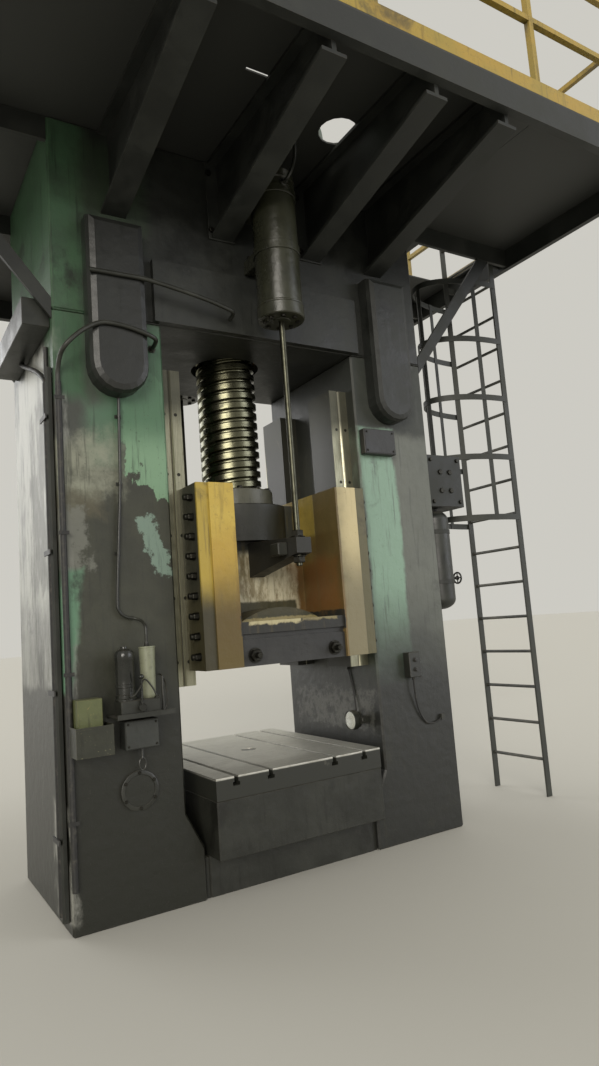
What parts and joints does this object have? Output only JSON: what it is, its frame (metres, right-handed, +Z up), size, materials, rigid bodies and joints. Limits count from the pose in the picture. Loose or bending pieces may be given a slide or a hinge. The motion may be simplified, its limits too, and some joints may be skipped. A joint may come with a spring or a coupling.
{
  "type": "hydraulic screw press",
  "caption": "Straight-sided forging press: a hanging multi-start screw drives a slide on guide rails, with lift cylinders and a service platform with a caged ladder.",
  "frame": {"origin": "on the floor under the centre of the press and of its platform", "axes": "+Z up, -Y out of the front, +X to the right seen from the front"},
  "size_m": [5.32, 4.24, 5.8726],
  "materials": {
    "accumulator": "dark oily paint on steel",
    "bed": "green machine enamel with oil grime",
    "bolster": "ground steel",
    "boss_pipe": "dark oily paint on steel",
    "corner_conduit": "green machine enamel with oil grime",
    "crown": "green machine enamel with oil grime",
    "crown_pipe": "dark oily paint on steel",
    "deck_right": "dark oily paint on steel",
    "die_holder": "dark oily paint on steel",
    "drive_nut": "oiled bronze",
    "ejector_pin": "ground steel",
    "flywheel": "grey paint",
    "flywheel_guard": "green machine enamel with oil grime",
    "gib_front_left": "yellow machine enamel, worn",
    "gib_front_right": "yellow machine enamel, worn",
    "gib_rear_left": "yellow machine enamel, worn",
    "gib_rear_right": "yellow machine enamel, worn",
    "grease_pump": "dark oily paint on steel",
    "guide_rail_front_left": "ground steel",
    "guide_rail_front_right": "ground steel",
    "guide_rail_rear_left": "ground steel",
    "guide_rail_rear_right": "ground steel",
    "junction_box": "green machine enamel with oil grime",
    "ladder": "dark oily paint on steel",
    "ladder_cage": "dark oily paint on steel",
    "lamp_bracket": "dark oily paint on steel",
    "lamp_head": "dark oily paint on steel",
    "lamp_lens": "frosted glass",
    "left_upright": "green machine enamel with oil grime",
    "lift_arm_front": "dark oily paint on steel",
    "lift_arm_rear": "dark oily paint on steel",
    "lift_cylinder_front": "grey paint",
    "lift_cylinder_rear": "grey paint",
    "lift_rod_front": "ground steel",
    "lift_rod_rear": "ground steel",
    "limit_switch": "grey paint",
    "lubricator_box": "grey paint",
    "lubricator_lever": "dark oily paint on steel",
    "lubricator_shelf": "dark oily paint on steel",
    "lubricator_valve": "dark oily paint on steel",
    "manifold": "dark oily paint on steel",
    "oil_cup": "cream enamel",
    "oil_line": "drawn tube",
    "platform_deck": "dark oily paint on steel",
    "platform_frame": "green machine enamel with oil grime",
    "railing": "yellow enamel",
    "right_upright": "green machine enamel with oil grime",
    "side_duct": "green machine enamel with oil grime",
    "slide_body": "yellow machine enamel, worn",
    "spindle": "oiled turned steel",
    "spindle_bush": "oiled bronze",
    "switch_box": "grey paint",
    "tie_rod_front_left": "turned steel",
    "tie_rod_front_right": "turned steel",
    "tie_rod_rear_left": "turned steel",
    "tie_rod_rear_right": "turned steel",
    "tray": "grey paint",
    "tray_box": "cream enamel",
    "valve_handwheel": "dark oily paint on steel"
  },
  "bodies": {
    "frame": {"accumulator": "accumulator", "bed": "bed", "bolster": "bolster", "boss_pipe": "boss_pipe", "corner_conduit": "corner_conduit", "crown": "crown", "crown_pipe": "crown_pipe", "deck_right": "deck_right", "flywheel_guard": "flywheel_guard", "grease_pump": "grease_pump", "guide_rail_front_left": "guide_rail_front_left", "guide_rail_front_right": "guide_rail_front_right", "guide_rail_rear_left": "guide_rail_rear_left", "guide_rail_rear_right": "guide_rail_rear_right", "junction_box": "junction_box", "ladder": "ladder", "ladder_cage": "ladder_cage", "lamp_bracket": "lamp_bracket", "left_upright": "left_upright", "lift_cylinder_front": "lift_cylinder_front", "lift_cylinder_rear": "lift_cylinder_rear", "lubricator_box": "lubricator_box", "lubricator_shelf": "lubricator_shelf", "lubricator_valve": "lubricator_valve", "manifold": "manifold", "oil_cup": "oil_cup", "oil_line": "oil_line", "platform_deck": "platform_deck", "platform_frame": "platform_frame", "railing": "railing", "right_upright": "right_upright", "side_duct": "side_duct", "spindle_bush": "spindle_bush", "switch_box": "switch_box", "tie_rod_front_left": "tie_rod_front_left", "tie_rod_front_right": "tie_rod_front_right", "tie_rod_rear_left": "tie_rod_rear_left", "tie_rod_rear_right": "tie_rod_rear_right", "tray": "tray", "tray_box": "tray_box"},
    "slide": {"slide_body": "slide_body", "gib_front_left": "gib_front_left", "gib_front_right": "gib_front_right", "gib_rear_left": "gib_rear_left", "gib_rear_right": "gib_rear_right", "drive_nut": "drive_nut", "die_holder": "die_holder", "lift_rod_front": "lift_rod_front", "lift_rod_rear": "lift_rod_rear", "lift_arm_front": "lift_arm_front", "lift_arm_rear": "lift_arm_rear", "limit_switch": "limit_switch"},
    "spindle": {"spindle": "spindle", "flywheel": "flywheel"},
    "ejector": {"ejector_pin": "ejector_pin"},
    "lubricator_lever": {"lubricator_lever": "lubricator_lever"},
    "lamp": {"lamp_head": "lamp_head", "lamp_lens": "lamp_lens"},
    "valve_wheel": {"valve_handwheel": "valve_handwheel"}
  },
  "joints": [
    {"name": "spindle_spin", "type": "hinge", "parent": "frame", "child": "spindle", "pos_m": [0, 0, 0], "axis": [0, 0, 1], "range_deg": [-1080, 360]},
    {"name": "slide_travel", "type": "slide", "parent": "frame", "child": "slide", "axis": [0, 0, 1], "range_m": [-0.15, 0.45]},
    {"name": "ejector_lift", "type": "slide", "parent": "frame", "child": "ejector", "axis": [0, 0, 1], "range_m": [0, 0.12]},
    {"name": "lubricator_lever_swing", "type": "hinge", "parent": "frame", "child": "lubricator_lever", "pos_m": [-1.055, -0.8003, 1.1878], "axis": [0, 1, 0], "range_deg": [-40, 40]},
    {"name": "lamp_tilt", "type": "hinge", "parent": "frame", "child": "lamp", "pos_m": [0.6847, -0.4, 0.86], "axis": [0, 1, 0], "range_deg": [-25, 25]},
    {"name": "valve_wheel_turn", "type": "hinge", "parent": "frame", "child": "valve_wheel", "pos_m": [1.715, -0.46, 1.855], "axis": [1, 0, 0], "range_deg": [0, 720]}
  ],
  "couplings": [
    {"joint": "slide_travel", "follows": "spindle_spin", "m_per_rad": -0.023873}
  ]
}
